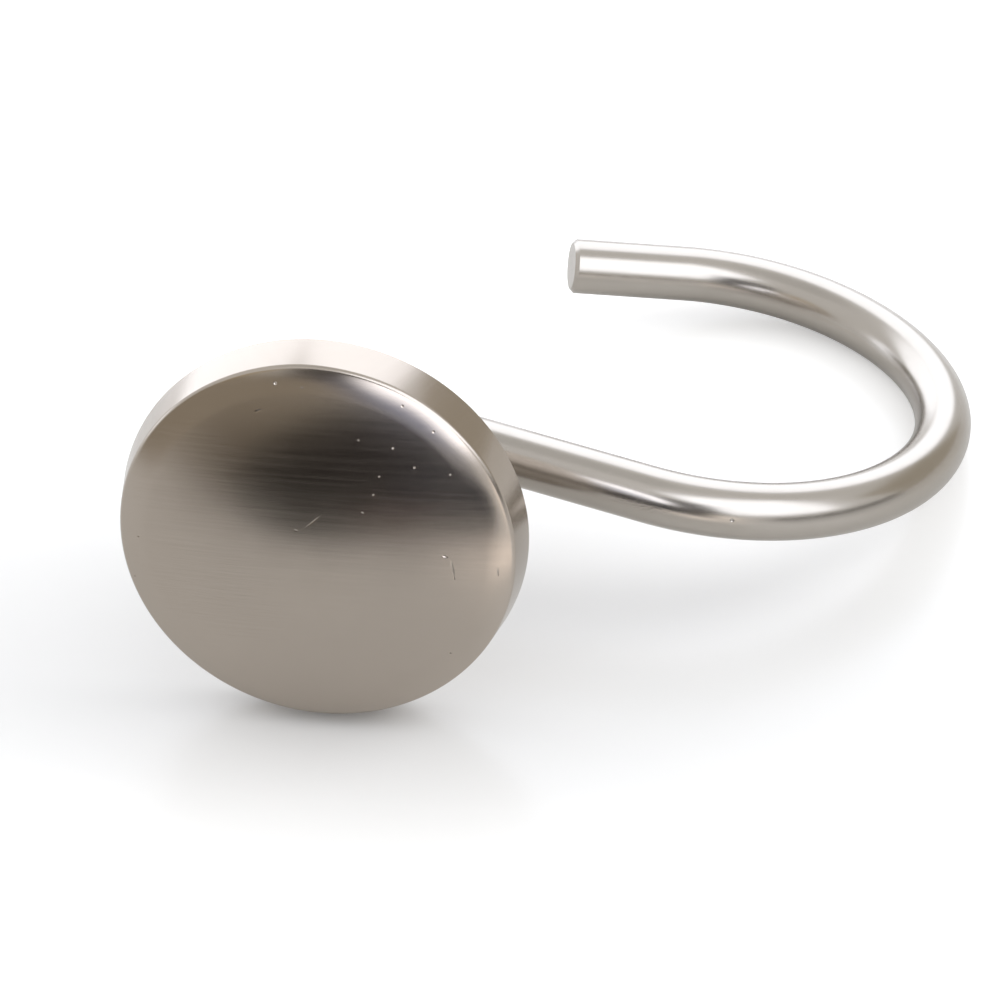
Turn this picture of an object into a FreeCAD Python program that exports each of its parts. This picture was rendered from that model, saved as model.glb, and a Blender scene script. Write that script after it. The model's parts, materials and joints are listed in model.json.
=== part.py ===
import FreeCAD, Part
import math
import os
import Sketcher
from FreeCAD import Placement, Rotation, Vector

# Curtain hook: a round crowned head and one bent wire, at rest on a flat surface.
# Both are drawn in the hook's own frame. Its origin is the middle of the head's back,
# the face looks towards -Y, and the wire lies in the XY plane and leaves the back along +Y.
# A placement worked out at the end lays the finished hook down on Z = 0.

doc = FreeCAD.newDocument("curtain_hook")

# Sizes in millimetres and degrees; the head's diameter follows from its dome and shoulder

sizes = [
    ("head_thickness", 5.3, "thickness of the head at its middle"),
    ("dome_radius", 160.0, "radius of the slightly domed middle of the face"),
    ("dome_diameter", 28.6, "diameter at which the dome turns into the shoulder round it"),
    ("shoulder_width", 3.1, "how far the head's back stands out beyond its dome all round"),
    ("shoulder_radius", 8.4, "radius of the shoulder, where the face falls off to the rim"),
    ("head_diameter", "=dome_diameter + 2 * shoulder_width", "diameter at the back, the widest"),
    ("rim_draft", 9.0, "slope of the rim, which narrows towards the face"),
    ("front_edge_radius", 0.5, "rounding between shoulder and rim"),
    ("back_edge_bevel", 0.4, "bevel between rim and back"),
    ("socket_depth", 3.0, "depth of the blind hole in the back that takes the wire"),
    ("socket_clearance", 0.05, "gap all round the wire in its hole"),
    ("socket_chamfer", 0.3, "bevel at the mouth of the hole"),
    ("wire_diameter", 5.0, "diameter of the wire"),
    ("stem_length", 11.4, "straight wire between the head's back and the stem bend"),
    ("stem_bend_radius", 6.0, "centre line radius of the bend behind the head"),
    ("stem_bend_angle", 98.5, "turn of the bend behind the head"),
    ("leg_length", 18.8, "straight wire between the stem bend and the bow"),
    ("bow_radius", 20.7, "centre line radius of the big bow"),
    ("bow_angle", 204.0, "turn of the big bow"),
    ("tip_length", 10.5, "straight wire at the free end"),
    ("tip_chamfer", 0.35, "bevel round the cut free end"),
]

sheet = doc.addObject("Spreadsheet::Sheet", "Sizes")
for row, (name, value, meaning) in enumerate(sizes, start=1):
    sheet.set(f"A{row}", name)
    sheet.set(f"B{row}", str(value))
    sheet.set(f"C{row}", meaning)
    sheet.setAlias(f"B{row}", name)
doc.recompute()


def size(name):
    """Value of one named size."""
    return float(getattr(sheet, name))


# Sketching helpers

START, END, CENTRE = range(1, 4)
HORIZONTAL_AXIS, VERTICAL_AXIS = range(-1, -3, -1)
ORIGIN = (HORIZONTAL_AXIS, START)
SAME_PLACE = 1e-4


def new_sketch(body, name, role):
    """An empty sketch on the body's own origin plane of this role."""
    sketch = body.newObject("Sketcher::SketchObject", name)
    plane = next(part for part in body.Origin.OriginFeatures if part.Role == role)
    sketch.AttachmentSupport = [(plane, "")]
    sketch.MapMode = "FlatFace"
    return sketch


def bind(sketch, kind, *geometry_and_value, to):
    """A dimension on the sketch that follows an expression of the named sizes."""
    index = sketch.addConstraint(Sketcher.Constraint(kind, *geometry_and_value))
    sketch.setExpression(f"Constraints[{index}]", to)


def edges_where(feature, test):
    """Names of the feature's edges that pass the test; an edge shrunk to a point has no curve."""
    numbered = enumerate(feature.Shape.Edges, start=1)
    return [f"Edge{number}" for number, edge in numbered if not edge.Degenerated and test(edge)]


def is_rim_circle(edge, radius, y):
    """True for a full circle of this radius round the head's axis at this height."""
    curve = edge.Curve
    return (
        isinstance(curve, Part.Circle)
        and abs(curve.Radius - radius) < SAME_PLACE
        and abs(curve.Center.y - y) < SAME_PLACE
    )


def ray(heading, length):
    """Vector of this length in the XY plane, its heading measured from the X axis."""
    return Vector(length * math.cos(heading), length * math.sin(heading), 0)


# Head: a turned, slightly domed disc with a blind hole for the wire in the middle of its back

head = doc.addObject("PartDesign::Body", "Head")
head.Label = "disc_head"

head_radius = size("head_diameter") / 2
rim_draft = math.radians(size("rim_draft"))
rim_direction = ray(-math.pi / 2 - rim_draft, 1)
rim_inwards = ray(math.pi - rim_draft, 1)
face_middle = Vector(0, -size("head_thickness"), 0)
dome_centre = face_middle + Vector(0, size("dome_radius"), 0)
dome_end_heading = -math.acos(size("dome_diameter") / 2 / size("dome_radius"))
shoulder_centre = dome_centre + ray(dome_end_heading, size("dome_radius") - size("shoulder_radius"))
back_corner = Vector(head_radius, 0, 0)
edge_from_back = back_corner + rim_inwards * size("front_edge_radius") - shoulder_centre
edge_reach = size("shoulder_radius") - size("front_edge_radius")
along_rim = -(edge_from_back * rim_direction)
rim_length = along_rim + math.sqrt(along_rim**2 - edge_from_back.Length**2 + edge_reach**2)
rim_end = back_corner + rim_direction * rim_length
edge_centre = rim_end + rim_inwards * size("front_edge_radius")
edge_heading = math.atan2(edge_centre.y - shoulder_centre.y, edge_centre.x - shoulder_centre.x)

half_profile = new_sketch(head, "HalfProfile", "XY_Plane")
dome_circle = Part.Circle(dome_centre, Vector(0, 0, 1), size("dome_radius"))
shoulder_circle = Part.Circle(shoulder_centre, Vector(0, 0, 1), size("shoulder_radius"))
edge_circle = Part.Circle(edge_centre, Vector(0, 0, 1), size("front_edge_radius"))
AXIS_LINE, BACK_LINE, RIM_LINE, EDGE_ARC, SHOULDER_ARC, DOME_ARC = half_profile.addGeometry(
    [
        Part.LineSegment(face_middle, Vector(0, 0, 0)),
        Part.LineSegment(Vector(0, 0, 0), back_corner),
        Part.LineSegment(back_corner, rim_end),
        Part.ArcOfCircle(edge_circle, edge_heading, -rim_draft),
        Part.ArcOfCircle(shoulder_circle, dome_end_heading, edge_heading),
        Part.ArcOfCircle(dome_circle, -math.pi / 2, dome_end_heading),
    ]
)
half_profile.addConstraint(
    [
        Sketcher.Constraint("Coincident", AXIS_LINE, END, *ORIGIN),
        Sketcher.Constraint("Coincident", BACK_LINE, START, *ORIGIN),
        Sketcher.Constraint("Coincident", BACK_LINE, END, RIM_LINE, START),
        Sketcher.Constraint("Tangent", RIM_LINE, END, EDGE_ARC, END),
        Sketcher.Constraint("Tangent", EDGE_ARC, START, SHOULDER_ARC, END),
        Sketcher.Constraint("Tangent", SHOULDER_ARC, START, DOME_ARC, END),
        Sketcher.Constraint("Coincident", DOME_ARC, START, AXIS_LINE, START),
        Sketcher.Constraint("Vertical", AXIS_LINE),
        Sketcher.Constraint("Horizontal", BACK_LINE),
        Sketcher.Constraint("PointOnObject", DOME_ARC, CENTRE, VERTICAL_AXIS),
    ]
)
bind(half_profile, "DistanceX", *ORIGIN, BACK_LINE, END, head_radius, to="Sizes.head_diameter / 2")
bind(half_profile, "DistanceY", AXIS_LINE, START, *ORIGIN, -face_middle.y, to="Sizes.head_thickness")
bind(half_profile, "Angle", RIM_LINE, -math.pi / 2 - rim_draft, to="-90 - Sizes.rim_draft")
bind(half_profile, "Radius", EDGE_ARC, size("front_edge_radius"), to="Sizes.front_edge_radius")
bind(half_profile, "Radius", SHOULDER_ARC, size("shoulder_radius"), to="Sizes.shoulder_radius")
bind(half_profile, "Radius", DOME_ARC, size("dome_radius"), to="Sizes.dome_radius")
dome_radius_at_end = size("dome_diameter") / 2
bind(half_profile, "DistanceX", *ORIGIN, DOME_ARC, END, dome_radius_at_end, to="Sizes.dome_diameter / 2")

blank = head.newObject("PartDesign::Revolution", "Blank")
blank.Profile = half_profile
blank.ReferenceAxis = (half_profile, ["V_Axis"])
blank.Angle = 360
doc.recompute()

back_edge = head.newObject("PartDesign::Chamfer", "BackEdge")
back_edge.Base = (blank, edges_where(blank, lambda edge: is_rim_circle(edge, head_radius, 0)))
back_edge.setExpression("Size", "Sizes.back_edge_bevel")
doc.recompute()

socket_outline = new_sketch(head, "SocketOutline", "XZ_Plane")
socket_radius = size("wire_diameter") / 2 + size("socket_clearance")
socket_circle = Part.Circle(Vector(0, 0, 0), Vector(0, 0, 1), socket_radius)
SOCKET_CIRCLE = socket_outline.addGeometry(socket_circle)
socket_outline.addConstraint(Sketcher.Constraint("Coincident", SOCKET_CIRCLE, CENTRE, *ORIGIN))
bind(
    socket_outline,
    "Radius",
    SOCKET_CIRCLE,
    socket_radius,
    to="Sizes.wire_diameter / 2 + Sizes.socket_clearance",
)

socket = head.newObject("PartDesign::Pocket", "Socket")
socket.Profile = socket_outline
socket.Reversed = True
socket.setExpression("Length", "Sizes.socket_depth")
doc.recompute()

socket_mouth = head.newObject("PartDesign::Chamfer", "SocketMouth")
socket_mouth.Base = (socket, edges_where(socket, lambda edge: is_rim_circle(edge, socket_radius, 0)))
socket_mouth.setExpression("Size", "Sizes.socket_chamfer")
doc.recompute()

# Wire: one round bar that follows the stem, the stem bend, the leg, the bow and the tip

wire = doc.addObject("PartDesign::Body", "Wire")
wire.Label = "hook_wire"

bend_angle = math.radians(size("stem_bend_angle"))
bow_angle = math.radians(size("bow_angle"))
leg_heading = math.pi / 2 - bend_angle
tip_heading = leg_heading + bow_angle

seat_point = Vector(0, -size("socket_depth"), 0)
bend_start = Vector(0, size("stem_length"), 0)
bend_centre = bend_start + Vector(size("stem_bend_radius"), 0, 0)
bend_end = bend_centre + ray(leg_heading + math.pi / 2, size("stem_bend_radius"))
bow_start = bend_end + ray(leg_heading, size("leg_length"))
bow_centre = bow_start + ray(leg_heading + math.pi / 2, size("bow_radius"))
bow_end = bow_centre + ray(tip_heading - math.pi / 2, size("bow_radius"))
tip_end = bow_end + ray(tip_heading, size("tip_length"))

centre_line = new_sketch(wire, "CentreLine", "XY_Plane")
bend_circle = Part.Circle(bend_centre, Vector(0, 0, 1), size("stem_bend_radius"))
bow_circle = Part.Circle(bow_centre, Vector(0, 0, 1), size("bow_radius"))
STEM, STEM_BEND, LEG, BOW, TIP = centre_line.addGeometry(
    [
        Part.LineSegment(seat_point, bend_start),
        Part.ArcOfCircle(bend_circle, leg_heading + math.pi / 2, math.pi),
        Part.LineSegment(bend_end, bow_start),
        Part.ArcOfCircle(bow_circle, leg_heading - math.pi / 2, tip_heading - math.pi / 2),
        Part.LineSegment(bow_end, tip_end),
    ]
)
# An arc runs anticlockwise, so the stem bend, which turns the other way, ends where it starts
centre_line.addConstraint(
    [
        Sketcher.Constraint("PointOnObject", STEM, START, VERTICAL_AXIS),
        Sketcher.Constraint("Vertical", STEM),
        Sketcher.Constraint("Tangent", STEM, END, STEM_BEND, END),
        Sketcher.Constraint("Tangent", STEM_BEND, START, LEG, START),
        Sketcher.Constraint("Tangent", LEG, END, BOW, START),
        Sketcher.Constraint("Tangent", BOW, END, TIP, START),
    ]
)
bind(centre_line, "DistanceY", STEM, START, *ORIGIN, -seat_point.y, to="Sizes.socket_depth")
bind(centre_line, "DistanceY", *ORIGIN, STEM, END, bend_start.y, to="Sizes.stem_length")
bind(centre_line, "Radius", STEM_BEND, size("stem_bend_radius"), to="Sizes.stem_bend_radius")
bind(centre_line, "Angle", STEM_BEND, bend_angle, to="Sizes.stem_bend_angle")
bind(centre_line, "Distance", LEG, size("leg_length"), to="Sizes.leg_length")
bind(centre_line, "Radius", BOW, size("bow_radius"), to="Sizes.bow_radius")
bind(centre_line, "Angle", BOW, bow_angle, to="Sizes.bow_angle")
bind(centre_line, "Distance", TIP, size("tip_length"), to="Sizes.tip_length")

cross_section = new_sketch(wire, "CrossSection", "XZ_Plane")
wire_radius = size("wire_diameter") / 2
WIRE_CIRCLE = cross_section.addGeometry(Part.Circle(Vector(0, 0, 0), Vector(0, 0, 1), wire_radius))
cross_section.addConstraint(Sketcher.Constraint("Coincident", WIRE_CIRCLE, CENTRE, *ORIGIN))
bind(cross_section, "Radius", WIRE_CIRCLE, wire_radius, to="Sizes.wire_diameter / 2")
# The section is drawn at the bottom of the head's hole, where the wire starts
cross_section.setExpression(".AttachmentOffset.Base.z", "Sizes.socket_depth")

bent_bar = wire.newObject("PartDesign::AdditivePipe", "BentBar")
bent_bar.Profile = cross_section
bent_bar.Spine = centre_line
doc.recompute()


def is_tip_edge(edge):
    """True for the circle at the wire's free end."""
    curve = edge.Curve
    return isinstance(curve, Part.Circle) and curve.Center.distanceToPoint(tip_end) < SAME_PLACE


tip_edge = wire.newObject("PartDesign::Chamfer", "TipEdge")
tip_edge.Base = (bent_bar, edges_where(bent_bar, is_tip_edge))
tip_edge.setExpression("Size", "Sizes.tip_chamfer")
doc.recompute()

# Rest: the hook lies on the back edge of its head and on the side of its bow,
# rocked to the place where its centre of mass is lowest

head_mass, wire_mass = head.Shape.Volume, wire.Shape.Volume
mass_centre = (
    head.Shape.CenterOfGravity * head_mass + wire.Shape.CenterOfGravity * wire_mass
) / (head_mass + wire_mass)
bevel_edge = back_corner + rim_direction * size("back_edge_bevel")


def head_level(up):
    """Lowest level of the rim's edge by the back bevel, measured along the unit vector up."""
    return bevel_edge.y * up.y - bevel_edge.x * math.sqrt(1 - up.y**2)


def bow_level(up):
    """Lowest level of the bow, measured along the unit vector up."""
    return bow_centre * up - size("bow_radius") * math.hypot(up.x, up.y) - wire_radius


def up_when_leaning(heading):
    """The upward direction when the hook leans to this heading until head and bow both touch."""
    flatter, steeper = 0.0, math.radians(60)
    for _ in range(60):
        lean = (flatter + steeper) / 2
        up = ray(heading, -math.sin(lean)) + Vector(0, 0, math.cos(lean))
        if bow_level(up) > head_level(up):
            flatter = lean
        else:
            steeper = lean
    return up


def mass_height(heading):
    """Height of the centre of mass over the surface for one heading of the lean."""
    up = up_when_leaning(heading)
    return mass_centre * up - head_level(up)


low, high = 0.0, math.pi / 2
for _ in range(60):
    third = (high - low) / 3
    if mass_height(low + third) < mass_height(high - third):
        high -= third
    else:
        low += third
up = up_when_leaning((low + high) / 2)

backwards = (Vector(0, 1, 0) - up * up.y).normalize()
laid_down = Placement(Vector(0, 0, 0), Rotation(backwards.cross(up), backwards, up, "ZYX").inverted())
lying = Part.makeCompound([head.Shape, wire.Shape]).transformed(laid_down.toMatrix(), True)
box = lying.optimalBoundingBox(False, False)
laid_down.Base = -Vector(box.Center.x, box.Center.y, box.ZMin)
head.Placement = laid_down
wire.Placement = laid_down
doc.recompute()

# Check every object, then write one file for each piece

for item in doc.Objects:
    if "Invalid" in item.State or "Error" in item.State:
        raise RuntimeError(f"{item.Name} did not build: {item.State}")

os.makedirs("parts", exist_ok=True)
for body in (head, wire):
    if body.Shape.isNull() or not body.Shape.isValid():
        raise RuntimeError(f"{body.Label} has no valid solid")
    body.Shape.exportStep(os.path.join("parts", f"{body.Label}.step"))
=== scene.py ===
import json
import math

import bpy
from mathutils import Matrix, Vector


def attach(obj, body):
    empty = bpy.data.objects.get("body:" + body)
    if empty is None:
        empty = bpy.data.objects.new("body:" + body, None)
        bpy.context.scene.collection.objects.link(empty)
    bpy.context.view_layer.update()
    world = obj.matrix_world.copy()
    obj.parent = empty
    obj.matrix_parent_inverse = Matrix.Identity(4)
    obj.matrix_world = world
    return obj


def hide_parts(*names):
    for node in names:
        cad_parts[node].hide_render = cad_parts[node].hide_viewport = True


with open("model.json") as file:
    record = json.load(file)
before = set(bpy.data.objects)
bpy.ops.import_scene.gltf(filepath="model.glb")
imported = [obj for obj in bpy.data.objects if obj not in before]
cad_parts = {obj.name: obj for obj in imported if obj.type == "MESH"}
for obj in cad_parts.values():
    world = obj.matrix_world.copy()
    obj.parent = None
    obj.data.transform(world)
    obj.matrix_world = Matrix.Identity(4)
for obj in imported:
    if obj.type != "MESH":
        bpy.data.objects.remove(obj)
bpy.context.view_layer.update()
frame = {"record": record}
mounts = {mount["name"]: mount for mount in frame["record"]["mounts"]}

MM = 0.001


# Sizes of the hook, in millimetres and degrees

HEAD_RADIUS = 17.4
HEAD_THICKNESS = 5.3
RIM_DRAFT = 9.0
DOME_RADIUS = 160.0
DOME_END_RADIUS = 14.3
SHOULDER_RADIUS = 8.4
FRONT_EDGE_RADIUS = 0.5
BACK_EDGE_BEVEL = 0.4
SOCKET_DEPTH = 3.0
SOCKET_RADIUS = 2.55
SOCKET_CHAMFER = 0.3
WIRE_RADIUS = 2.5
STEM_LENGTH = 11.4
STEM_BEND_RADIUS = 6.0
STEM_BEND_ANGLE = 98.5
LEG_LENGTH = 18.8
BOW_RADIUS = 20.7
BOW_ANGLE = 204.0
TIP_LENGTH = 10.5
TIP_CHAMFER = 0.35

# Each piece is modelled in the hook's own frame: the middle of the head's back is its origin,
# the face looks towards -Y, and the wire lies in the XY plane and leaves the back along +Y


def heading(degrees):
    """Unit vector in the wire's plane at this heading from the X axis."""
    return Vector((math.cos(math.radians(degrees)), math.sin(math.radians(degrees)), 0))


leg_heading = 90 - STEM_BEND_ANGLE
tip_heading = leg_heading + BOW_ANGLE
bend_centre = Vector((STEM_BEND_RADIUS, STEM_LENGTH, 0))
bend_end = bend_centre + heading(leg_heading + 90) * STEM_BEND_RADIUS
bow_start = bend_end + heading(leg_heading) * LEG_LENGTH
bow_centre = bow_start + heading(leg_heading + 90) * BOW_RADIUS


def lying_placement():
    """How the hook lies: its frame in the model's, from the record's free end and rod seat."""
    pin, seat = mounts["free_end"], mounts["rod_seat"]
    tip_axis, seat_axis = Vector(pin["axis"]), Vector(seat["axis"])
    seat_heading = leg_heading - 90 + BOW_ANGLE / 2
    drawn_tip, drawn_seat = heading(tip_heading), -heading(seat_heading)
    drawn_normal, normal = Vector((0, 0, 1)), tip_axis.cross(seat_axis).normalized()
    if drawn_tip.cross(drawn_seat).z < 0:
        normal.negate()
    drawn = Matrix((drawn_tip, drawn_normal.cross(drawn_tip), drawn_normal)).transposed()
    lying = Matrix((tip_axis, normal.cross(tip_axis), normal)).transposed()
    turn = lying @ drawn.inverted()
    seat_point = (bow_centre + heading(seat_heading) * (BOW_RADIUS - WIRE_RADIUS)) * MM
    return Matrix.Translation(Vector(seat["pos_m"]) - turn @ seat_point) @ turn.to_4x4()


LYING = lying_placement()


# Modelling helpers

DOUBLES_WITHIN = 1e-7
SMOOTH_BELOW = 28.0


def deselect_everything():
    bpy.ops.object.select_all(action="DESELECT")


def name_piece(name):
    """Name the primitive that was just added, and its mesh."""
    piece = bpy.context.object
    piece.name = name
    piece.data.name = name
    return piece


def finish_piece(piece, node, material):
    """Close and smooth a piece, lay it down and let it stand for its solid."""
    bpy.ops.mesh.select_all(action="SELECT")
    bpy.ops.mesh.remove_doubles(threshold=DOUBLES_WITHIN)
    bpy.ops.mesh.normals_make_consistent(inside=False)
    bpy.ops.object.mode_set(mode="OBJECT")
    bpy.ops.object.shade_smooth_by_angle(angle=math.radians(SMOOTH_BELOW))
    piece.matrix_world = LYING
    bpy.ops.object.transform_apply(location=True, rotation=True, scale=True)
    piece.data.materials.clear()
    piece.data.materials.append(material)
    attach(piece, "root")
    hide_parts(node)


# Materials

NODE_X = 220

# Height of the brush lines and of the small marks in millimetres, how much of the first is shown,
# and how far the brush lines and a faint cloudiness of this size vary the roughness
BRUSH_RELIEF = 0.05
BRUSH_STRENGTH = 0.03
MARK_RELIEF = 0.06
BRUSH_ROUGHNESS = 0.10
CLOUD_ROUGHNESS = 0.05
CLOUD_SIZE = 6.0
NOISE_ROUGHNESS = 0.55


def linear(hex_colour):
    """Linear colour of an sRGB hex value such as #A8A198."""
    channels = [int(hex_colour[i : i + 2], 16) / 255 for i in (1, 3, 5)]
    straight = [c / 12.92 if c <= 0.04045 else ((c + 0.055) / 1.055) ** 2.4 for c in channels]
    return (*straight, 1.0)


def add_node(tree, kind, settings=None, links=None):
    """A node with its settings; links, numbers and colours go to inputs by name or number."""
    node = tree.nodes.new(kind)
    node.location.x = NODE_X * len(tree.nodes)
    for key, value in (settings or {}).items():
        setattr(node, key, value)
    for key, value in (links or {}).items():
        if isinstance(value, bpy.types.NodeSocket):
            tree.links.new(value, node.inputs[key])
        else:
            node.inputs[key].default_value = value
    return node


def new_material(name):
    material = bpy.data.materials.new(name)
    material.use_nodes = True
    material.node_tree.nodes.clear()
    return material, material.node_tree


def hook_coordinates(tree):
    """The hook's own frame, in metres, whatever way the hook lies."""
    place = add_node(tree, "ShaderNodeTexCoord").outputs["Object"]
    settings = {"vector_type": "TEXTURE"}
    links = {"Vector": place, "Location": LYING.translation, "Rotation": LYING.to_euler()}
    return add_node(tree, "ShaderNodeMapping", settings, links).outputs["Vector"]


def stretched_noise(tree, place, spacing, turn=0.0, detail=3.0):
    """Noise whose grain measures these millimetres along X, Y and Z of the given place."""
    settings = {"vector_type": "POINT"}
    links = {"Vector": place, "Rotation": (0, math.radians(turn), 0)}
    turned = add_node(tree, "ShaderNodeMapping", settings, links)
    scale = [1 / (length * MM) for length in spacing]
    links = {"Vector": turned.outputs["Vector"], "Scale": scale}
    grain = add_node(tree, "ShaderNodeMapping", settings, links)
    links = {
        "Vector": grain.outputs["Vector"],
        "Scale": 1.0,
        "Detail": detail,
        "Roughness": NOISE_ROUGHNESS,
    }
    return add_node(tree, "ShaderNodeTexNoise", None, links).outputs["Fac"]


def mark(tree, place, centre, turn, half_size):
    """One small mark: 1 in the middle of an ellipsoid of these half sizes, 0 at its border."""
    links = {
        "Vector": place,
        "Location": [value * MM for value in centre],
        "Rotation": (0, math.radians(turn), 0),
        "Scale": [value * MM for value in half_size],
    }
    local = add_node(tree, "ShaderNodeMapping", {"vector_type": "TEXTURE"}, links)
    links = {0: local.outputs["Vector"]}
    reach = add_node(tree, "ShaderNodeVectorMath", {"operation": "LENGTH"}, links)
    links = {"Value": reach.outputs["Value"], "From Min": 1.0, "From Max": 0.0}
    settings = {"interpolation_type": "SMOOTHSTEP"}
    return add_node(tree, "ShaderNodeMapRange", settings, links).outputs["Result"]


# Small marks as (middle, turn, half sizes, depth): pits, a dent, scratches, a nick. They have the
# width of the real ones, and their depth is in shares of MARK_RELIEF. The one below zero stands up
FACE_MARKS = [
    ((-5.09, -4.47, 14.6), 0, (0.18, 1.0, 0.18), 1.3),
    ((-2.91, -4.56, 14.76), 0, (0.12, 1.0, 0.12), -0.4),
    ((-6.2, -4.74, 11.85), -35, (0.42, 1.0, 0.14), 0.35),
    ((-0.4, -5.27, 2.75), -52, (1.0, 1.0, 0.06), 0.3),
    ((-1.7, -5.28, 1.6), 0, (0.2, 1.0, 0.1), 0.25),
    ((4.26, -5.11, 6.34), -70, (0.18, 1.0, 0.1), 0.42),
    ((3.59, -5.19, 4.51), 40, (0.16, 1.0, 0.1), 0.42),
    ((4.52, -5.03, 8.16), 0, (0.1, 1.0, 0.1), 0.5),
    ((5.29, -4.83, 10.97), 0, (0.12, 1.0, 0.1), 0.6),
    ((2.38, -4.89, 11.1), 0, (0.1, 1.0, 0.1), 0.4),
    ((7.28, -4.85, 9.56), 0, (0.14, 1.0, 0.12), 0.5),
    ((10.28, -4.69, 9.49), 0, (0.12, 1.0, 0.12), 0.45),
    ((5.51, -4.38, 14.82), 0, (0.14, 1.0, 0.14), 0.5),
    ((8.35, -4.46, 13.06), 0, (0.14, 1.0, 0.14), 0.5),
    ((10.85, -4.91, 1.85), 0, (0.32, 1.0, 0.17), 1.6),
    ((11.68, -4.86, 0.67), 73, (1.1, 1.0, 0.12), 1.8),
    ((15.39, -4.48, 1.06), 80, (0.45, 1.0, 0.08), 0.9),
    ((12.51, -4.63, -7.52), 0, (0.22, 1.0, 0.14), 0.6),
    ((-14.87, -4.55, -2.48), 0, (0.14, 1.0, 0.12), 0.6),
    ((-14.82, -4.26, -6.58), 0, (0.14, 1.0, 0.12), 0.6),
]
WIRE_MARKS = [((33.1, 12.3, 0.45), 0, (0.22, 1.2, 0.18), 1.0)]
# Patches of fine wear as (middle, turn, half sizes, grain, depth)
FACE_PATCH = ((-8.0, -4.8, -8.0), 0, (13.0, 3.0, 9.0), (3.5, 3.5, 0.12), 0.25)
WIRE_PATCH = ((25.5, 12.1, -0.2), 0, (5.5, 1.8, 1.2), (0.22, 0.22, 0.22), 0.8)


def satin_nickel_plate(name, tints, marks, patch, brush_spacing, brush_turn, roughness):
    """Nickel plate over a brushed steel blank, with its small marks in relief."""
    material, tree = new_material(name)
    place = hook_coordinates(tree)
    brush = stretched_noise(tree, place, brush_spacing, brush_turn)
    cloud = stretched_noise(tree, place, (CLOUD_SIZE, CLOUD_SIZE, CLOUD_SIZE), detail=2.0)
    # Both noises lie round a half, so half of what they add is taken off the plain roughness
    plain = roughness - (BRUSH_ROUGHNESS + CLOUD_ROUGHNESS) / 2
    add_up = {"operation": "MULTIPLY_ADD"}
    rough = add_node(tree, "ShaderNodeMath", add_up, {0: cloud, 1: CLOUD_ROUGHNESS, 2: plain})
    links = {0: brush, 1: BRUSH_ROUGHNESS, 2: rough.outputs["Value"]}
    rough = add_node(tree, "ShaderNodeMath", add_up, links)
    dug = 0.0
    for centre, turn, half_size, depth in marks:
        here = mark(tree, place, centre, turn, half_size)
        dug = add_node(tree, "ShaderNodeMath", add_up, {0: here, 1: -depth, 2: dug}).outputs["Value"]
    centre, turn, half_size, grain, depth = patch
    worn = mark(tree, place, centre, turn, half_size)
    links = {0: worn, 1: stretched_noise(tree, place, grain, brush_turn)}
    worn = add_node(tree, "ShaderNodeMath", {"operation": "MULTIPLY"}, links).outputs["Value"]
    dug = add_node(tree, "ShaderNodeMath", add_up, {0: worn, 1: -depth, 2: dug}).outputs["Value"]
    links = {"Strength": BRUSH_STRENGTH, "Distance": BRUSH_RELIEF * MM, "Height": brush}
    streaks = add_node(tree, "ShaderNodeBump", None, links).outputs["Normal"]
    links = {"Strength": 1.0, "Distance": MARK_RELIEF * MM, "Height": dug, "Normal": streaks}
    relief = add_node(tree, "ShaderNodeBump", None, links).outputs["Normal"]
    links = {"Factor": cloud, "A": linear(tints[0]), "B": linear(tints[1])}
    tint = add_node(tree, "ShaderNodeMix", {"data_type": "RGBA"}, links)
    links = {
        "Base Color": tint.outputs["Result"],
        "Metallic": 1.0,
        "Roughness": rough.outputs["Value"],
        "Normal": relief,
    }
    plate = add_node(tree, "ShaderNodeBsdfPrincipled", None, links)
    add_node(tree, "ShaderNodeOutputMaterial", None, {"Surface": plate.outputs["BSDF"]})
    return material


# The head is a steel disc, brushed one way and plated in satin nickel. To the eye it is a warm
# grey mirror with soft edges, a little more blurred across the brushing than along it. The real
# brush lines are some hundredths of a millimetre apart, and they are drawn at 0.22 so that they show
HEAD_METAL = satin_nickel_plate(
    name="satin_nickel_plate_brushed",
    tints=("#ACA399", "#A9A096"),
    marks=FACE_MARKS,
    patch=FACE_PATCH,
    brush_spacing=(9, 9, 0.22),
    brush_turn=8.0,
    roughness=0.21,
)
# The wire is drawn steel, plated in satin nickel. To the eye it is the same grey, a touch cooler
# and duller, and smooth but for faint soft streaks, which are drawn coarser than the real ones
WIRE_METAL = satin_nickel_plate(
    name="satin_nickel_plate_drawn",
    tints=("#ADA79F", "#AAA49C"),
    marks=WIRE_MARKS,
    patch=WIRE_PATCH,
    brush_spacing=(2, 2, 0.5),
    brush_turn=0.0,
    roughness=0.24,
)


# Head: the half profile is drawn point by point on the axis and turned once round it

EDGE_STEPS = 7
SHOULDER_STEPS = 12
DOME_STEPS = 10
HEAD_STEPS = 160

deselect_everything()


def arc_points(centre, radius, first, last, count):
    """Points of an arc between two headings, its ends included."""
    step = (last - first) / count
    return [centre + heading(first + step * i) * radius for i in range(count + 1)]


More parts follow.
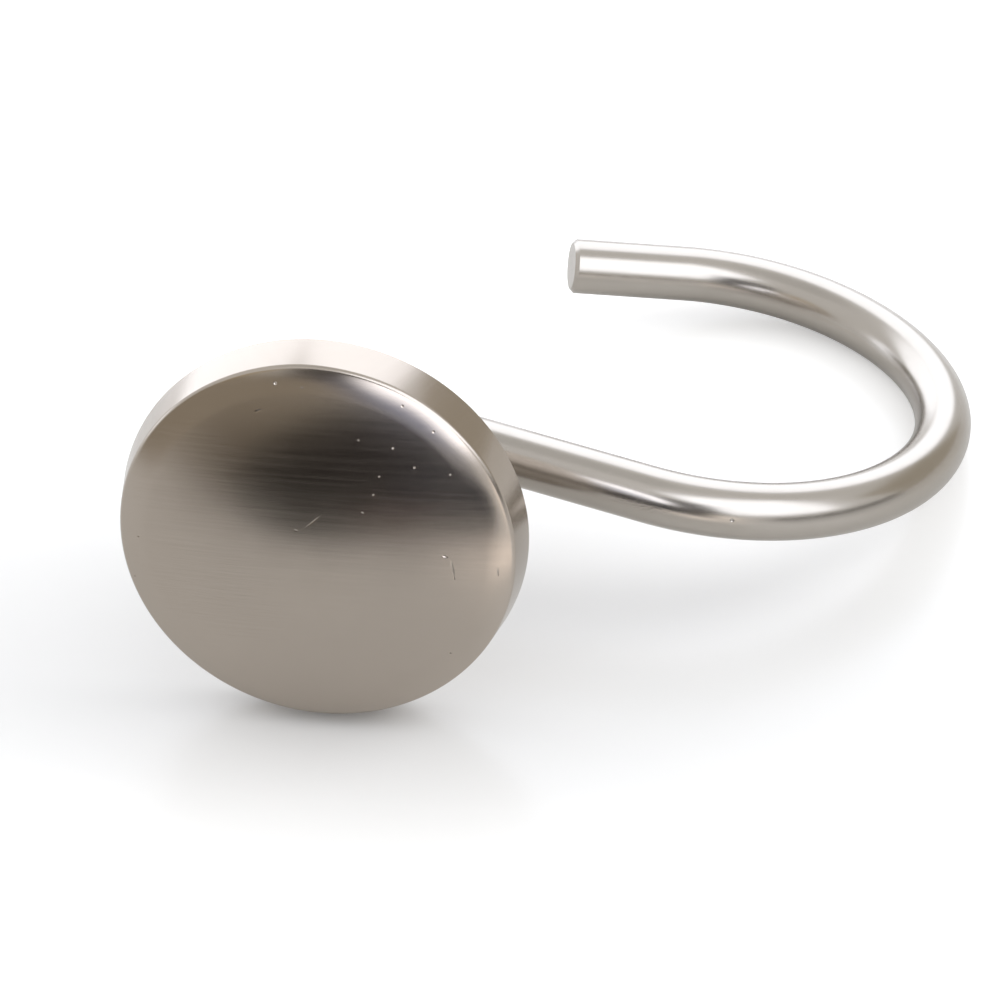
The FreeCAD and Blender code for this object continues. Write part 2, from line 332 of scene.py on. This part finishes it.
dome_centre = Vector((0, DOME_RADIUS - HEAD_THICKNESS, 0))
dome_end = -math.degrees(math.acos(DOME_END_RADIUS / DOME_RADIUS))
shoulder_centre = dome_centre + heading(dome_end) * (DOME_RADIUS - SHOULDER_RADIUS)
back_corner = Vector((HEAD_RADIUS, 0, 0))
rim_direction = heading(-90 - RIM_DRAFT)
rim_inwards = heading(180 - RIM_DRAFT)
from_shoulder = back_corner + rim_inwards * FRONT_EDGE_RADIUS - shoulder_centre
reach = SHOULDER_RADIUS - FRONT_EDGE_RADIUS
along = -from_shoulder.dot(rim_direction)
rim_length = along + math.sqrt(along**2 - from_shoulder.length_squared + reach**2)
rim_end = back_corner + rim_direction * rim_length
edge_centre = rim_end + rim_inwards * FRONT_EDGE_RADIUS
to_edge = edge_centre - shoulder_centre
shoulder_end = math.degrees(math.atan2(to_edge.y, to_edge.x))
profile = [
    Vector((0, -SOCKET_DEPTH, 0)),
    Vector((SOCKET_RADIUS, -SOCKET_DEPTH, 0)),
    Vector((SOCKET_RADIUS, -SOCKET_CHAMFER, 0)),
    Vector((SOCKET_RADIUS + SOCKET_CHAMFER, 0, 0)),
    back_corner - Vector((BACK_EDGE_BEVEL, 0, 0)),
    back_corner + rim_direction * BACK_EDGE_BEVEL,
    *arc_points(edge_centre, FRONT_EDGE_RADIUS, -RIM_DRAFT, shoulder_end, EDGE_STEPS),
    *arc_points(shoulder_centre, SHOULDER_RADIUS, shoulder_end, dome_end, SHOULDER_STEPS)[1:],
    *arc_points(dome_centre, DOME_RADIUS, dome_end, -90, DOME_STEPS)[1:],
]
bpy.ops.mesh.primitive_plane_add(size=MM, location=(0, 0, 0))
head = name_piece("head")
bpy.ops.object.mode_set(mode="EDIT")
bpy.ops.mesh.select_all(action="SELECT")
bpy.ops.mesh.merge(type="CENTER")
bpy.ops.transform.translate(value=profile[0] * MM)
for before, after in zip(profile, profile[1:]):
    bpy.ops.mesh.extrude_region_move(TRANSFORM_OT_translate={"value": (after - before) * MM})
bpy.ops.mesh.select_all(action="SELECT")
bpy.ops.mesh.spin(steps=HEAD_STEPS, angle=math.tau, center=(0, 0, 0), axis=(0, 1, 0))
finish_piece(head, "disc_head", HEAD_METAL)


# Wire: a round section is pulled along the stem, turned round the bend, and so on to the tip

WIRE_SIDES = 72
BEND_STEPS = 32
BOW_STEPS = 132

deselect_everything()
bpy.ops.mesh.primitive_circle_add(
    vertices=WIRE_SIDES,
    radius=WIRE_RADIUS * MM,
    fill_type="NGON",
    location=(0, -SOCKET_DEPTH * MM, 0),
    rotation=(math.radians(90), 0, 0),
)
wire = name_piece("wire")
bpy.ops.object.transform_apply(location=True, rotation=True, scale=True)
bpy.ops.object.mode_set(mode="EDIT")
bpy.ops.mesh.select_all(action="SELECT")


def pull(direction, length, steps=1):
    """Extend the wire straight from its open end."""
    for _ in range(steps):
        move = direction * (length * MM / steps)
        bpy.ops.mesh.extrude_region_move(TRANSFORM_OT_translate={"value": move})


def turn_round(centre, angle, steps):
    """Extend the wire round a centre in its plane, anticlockwise for a positive angle."""
    bpy.ops.mesh.spin(
        steps=steps, angle=math.radians(angle), center=centre * MM, axis=(0, 0, -1)
    )


pull(heading(90), SOCKET_DEPTH + STEM_LENGTH, steps=3)
turn_round(bend_centre, -STEM_BEND_ANGLE, BEND_STEPS)
pull(heading(leg_heading), LEG_LENGTH, steps=4)
turn_round(bow_centre, BOW_ANGLE, BOW_STEPS)
pull(heading(tip_heading), TIP_LENGTH - TIP_CHAMFER, steps=3)
pull(heading(tip_heading), TIP_CHAMFER)
narrowing = 1 - TIP_CHAMFER / WIRE_RADIUS
bpy.ops.transform.resize(value=(narrowing, narrowing, narrowing))
finish_piece(wire, "hook_wire", WIRE_METAL)


# Floor

# Painted light: to the camera alone the floor is painted lighter away from this place under the
# head, from the inner to the outer share of this reach in millimetres, up to the white of the
# background, so the hook's shadow fades away from the head
SHADOW_CENTRE = Vector((-16, -22, 0))
SHADOW_REACH = Vector((120, 36, 1000))
SHADOW_INNER = 0.15
SHADOW_OUTER = 1.2
PAINTED_FLOOR_LIGHT = 0.35
FLOOR_SIDE = 6

deselect_everything()
bpy.ops.mesh.primitive_plane_add(size=FLOOR_SIDE, location=(0, 0, 0))
floor = name_piece("floor")

# A white lacquered board: it takes the soft shadow of the hook and, at a flat angle, mirrors it.
# Over that it carries painted light that only the camera sees
floor_paint, tree = new_material("white_gloss_board")
path = add_node(tree, "ShaderNodeLightPath")
place = add_node(tree, "ShaderNodeTexCoord").outputs["Object"]
links = {"Vector": place, "Location": SHADOW_CENTRE * MM, "Scale": SHADOW_REACH * MM}
spread = add_node(tree, "ShaderNodeMapping", {"vector_type": "TEXTURE"}, links)
links = {0: spread.outputs["Vector"]}
reach = add_node(tree, "ShaderNodeVectorMath", {"operation": "LENGTH"}, links)
links = {
    "Value": reach.outputs["Value"],
    "From Min": SHADOW_INNER,
    "From Max": SHADOW_OUTER,
    "To Max": PAINTED_FLOOR_LIGHT,
}
pale = add_node(tree, "ShaderNodeMapRange", {"interpolation_type": "SMOOTHSTEP"}, links)
# Painted light: camera rays alone see the floor glow this much brighter, which hides the hook's
# shadow away from the head
links = {0: path.outputs["Is Camera Ray"], 1: pale.outputs["Result"]}
painted_light = add_node(tree, "ShaderNodeMath", {"operation": "MULTIPLY"}, links)
links = {
    "Base Color": linear("#F6F6F6"),
    "Roughness": 0.25,
    "IOR": 1.5,
    "Specular IOR Level": 0.25,
    "Emission Color": linear("#FFFFFF"),
    "Emission Strength": painted_light.outputs["Value"],
}
board = add_node(tree, "ShaderNodeBsdfPrincipled", None, links)
add_node(tree, "ShaderNodeOutputMaterial", None, {"Surface": board.outputs["BSDF"]})
floor.data.materials.append(floor_paint)


# Light: a lamp on either side, and plain cards that only the metal mirrors


def from_hook(azimuth, elevation, distance):
    """A point at this azimuth from +Y towards +X, this elevation and this distance."""
    azimuth, elevation = math.radians(azimuth), math.radians(elevation)
    level = math.cos(elevation) * distance
    return Vector(
        (math.sin(azimuth) * level, math.cos(azimuth) * level, math.sin(elevation) * distance)
    )


def soft_box(name, azimuth, elevation, distance, side, radiance):
    """A square lamp facing the hook, in metres; white paper under it would look this bright."""
    light = bpy.data.lights.new(name, "AREA")
    light.shape = "RECTANGLE"
    light.size = side
    light.size_y = side
    light.energy = radiance * math.pi * side**2
    lamp = bpy.data.objects.new(name, light)
    bpy.context.scene.collection.objects.link(lamp)
    lamp.location = from_hook(azimuth, elevation, distance)
    lamp.rotation_euler = lamp.location.to_track_quat("Z", "Y").to_euler()
    lamp.visible_camera = False
    lamp.visible_glossy = False


def card(name, centre, width, height, colour, strength=1.0, roll=0.0, softness=0.0):
    """A glowing card that faces the hook and that only the metal mirrors, in millimetres.

    A soft card is an ellipse that fades out over this share of its half size.
    """
    deselect_everything()
    bpy.ops.mesh.primitive_plane_add(size=MM, location=(0, 0, 0))
    piece = name_piece(name)
    piece.scale = (width, height, 1)
    piece.rotation_euler = (0, 0, math.radians(roll))
    bpy.ops.object.transform_apply(location=True, rotation=True, scale=True)
    piece.location = Vector(centre) * MM
    piece.rotation_euler = piece.location.to_track_quat("Z", "Y").to_euler()
    bpy.ops.object.transform_apply(location=True, rotation=True, scale=True)
    paint, tree = new_material(name)
    links = {"Color": linear(colour), "Strength": strength}
    surface = add_node(tree, "ShaderNodeEmission", None, links).outputs["Emission"]
    if softness:
        place = add_node(tree, "ShaderNodeTexCoord").outputs["UV"]
        links = {"Vector": place, "Location": (0.5, 0.5, 0), "Scale": (0.5, 0.5, 1)}
        centred = add_node(tree, "ShaderNodeMapping", {"vector_type": "TEXTURE"}, links)
        links = {0: centred.outputs["Vector"]}
        reach = add_node(tree, "ShaderNodeVectorMath", {"operation": "LENGTH"}, links)
        links = {"Value": reach.outputs["Value"], "From Min": 1.0, "From Max": 1 - softness}
        settings = {"interpolation_type": "SMOOTHSTEP"}
        amount = add_node(tree, "ShaderNodeMapRange", settings, links).outputs["Result"]
        clear = add_node(tree, "ShaderNodeBsdfTransparent").outputs["BSDF"]
        links = {"Fac": amount, 1: clear, 2: surface}
        surface = add_node(tree, "ShaderNodeMixShader", None, links).outputs["Shader"]
    add_node(tree, "ShaderNodeOutputMaterial", None, {"Surface": surface})
    piece.data.materials.append(paint)
    piece.visible_camera = False
    piece.visible_diffuse = False
    piece.visible_shadow = False


soft_box("side_left", azimuth=-76, elevation=40, distance=0.60, side=0.35, radiance=0.8)
soft_box("side_right", azimuth=76, elevation=40, distance=0.60, side=0.35, radiance=2.0)
card("white_box_right", from_hook(133, 44, 550), 500, 520, "#F0F5FF", 3.2)
card("white_card_back_left", from_hook(-38, 22, 600), 660, 600, "#F0F5FF", 2.9, softness=0.3)
card("white_card_back_right", from_hook(4, 32, 560), 500, 700, "#F0F5FF", 2.9, softness=0.3)
card("grey_card_camera_side", from_hook(180, 22, 500), 290, 420, "#5A5653")
card("grey_card_right", from_hook(58, 18, 500), 460, 300, "#CCC4B6")
card("dark_card_right", from_hook(114, 5, 300), 340, 56, "#8E8B88")
card("grey_card_front", (-62, -87, 33), 95, 50, "#B8AE9F", roll=-20)
card("dark_card_front", (-1, -65, 13.5), 30, 15, "#3A3C44", roll=8, softness=0.2)
card("umber_card_front", (-39, -84, 9), 26, 30, "#5A4F42", softness=1.0)
card("white_card_front", (36, -86, 14), 27, 30, "#FFF8F2", 1.75, softness=0.6)
card("black_card_front", (-19, -64, 15.4), 32, 22, "#2A2724", roll=15, softness=0.2)
card("white_strip_low", (13, -64, 2.8), 56, 12, "#FFF6F0", 2.3, softness=1.0)
card("grey_card_above", from_hook(-60, 80, 600), 420, 420, "#EAEAEA", softness=0.4)
card("tan_card_left", from_hook(-146, 28, 500), 260, 220, "#DCCDB2", softness=0.5)
card("white_card_left", from_hook(-84, 10, 600), 300, 240, "#F0F5FF", 2.4, softness=0.4)
card("brown_card_front", (-13, -63, 9.5), 20, 8, "#4A2A22", softness=0.9)
card("blue_strip_front", (-7.4, -49.5, 31), 33, 20, "#B2BAD8", roll=-35, softness=1.0)
card("white_strip_front", (-2.4, -49, 35), 32, 18, "#F2F5FF", 4.6, roll=-35, softness=0.5)

# The world is white where the camera and the metal see it, and a little lower as plain light
WORLD_LIGHT = 0.84

world = bpy.data.worlds.new("studio")
bpy.context.scene.world = world
world.use_nodes = True
tree = world.node_tree
tree.nodes.clear()
path = add_node(tree, "ShaderNodeLightPath")
links = {0: path.outputs["Is Camera Ray"], 1: path.outputs["Is Glossy Ray"]}
seen = add_node(tree, "ShaderNodeMath", {"operation": "MAXIMUM"}, links).outputs["Value"]
links = {0: seen, 1: path.outputs["Is Transmission Ray"]}
seen = add_node(tree, "ShaderNodeMath", {"operation": "MAXIMUM"}, links).outputs["Value"]
links = {"Value": seen, "To Min": WORLD_LIGHT, "To Max": 1.0}
strength = add_node(tree, "ShaderNodeMapRange", None, links).outputs["Result"]
links = {"Color": linear("#FFFFFF"), "Strength": strength}
sky = add_node(tree, "ShaderNodeBackground", None, links)
add_node(tree, "ShaderNodeOutputWorld", None, {"Surface": sky.outputs["Background"]})


# Camera, at the photo's viewing angle

CAMERA_AIM = Vector((-5.79, -5.67, 4.52)) * MM
CAMERA_AZIMUTH = -11.29
CAMERA_ELEVATION = 38.93
CAMERA_ROLL = -3.34
CAMERA_DISTANCE = 0.4606
CAMERA_LENS = 188.69

camera = bpy.data.objects.new("camera", bpy.data.cameras.new("camera"))
bpy.context.scene.collection.objects.link(camera)
forward = -from_hook(CAMERA_AZIMUTH + 180, CAMERA_ELEVATION, 1.0)
right = forward.cross(Vector((0, 0, 1))).normalized()
up = right.cross(forward)
roll = math.radians(CAMERA_ROLL)
tilted_right = right * math.cos(roll) + up * math.sin(roll)
tilted_up = tilted_right.cross(forward)
turned = Matrix((tilted_right, tilted_up, -forward)).transposed().to_4x4()
camera.matrix_world = Matrix.Translation(CAMERA_AIM - forward * CAMERA_DISTANCE) @ turned
camera.data.lens = CAMERA_LENS
camera.data.sensor_width = 36
camera.data.clip_start = 0.01
bpy.context.scene.camera = camera

bpy.context.scene.view_settings.view_transform = "Standard"
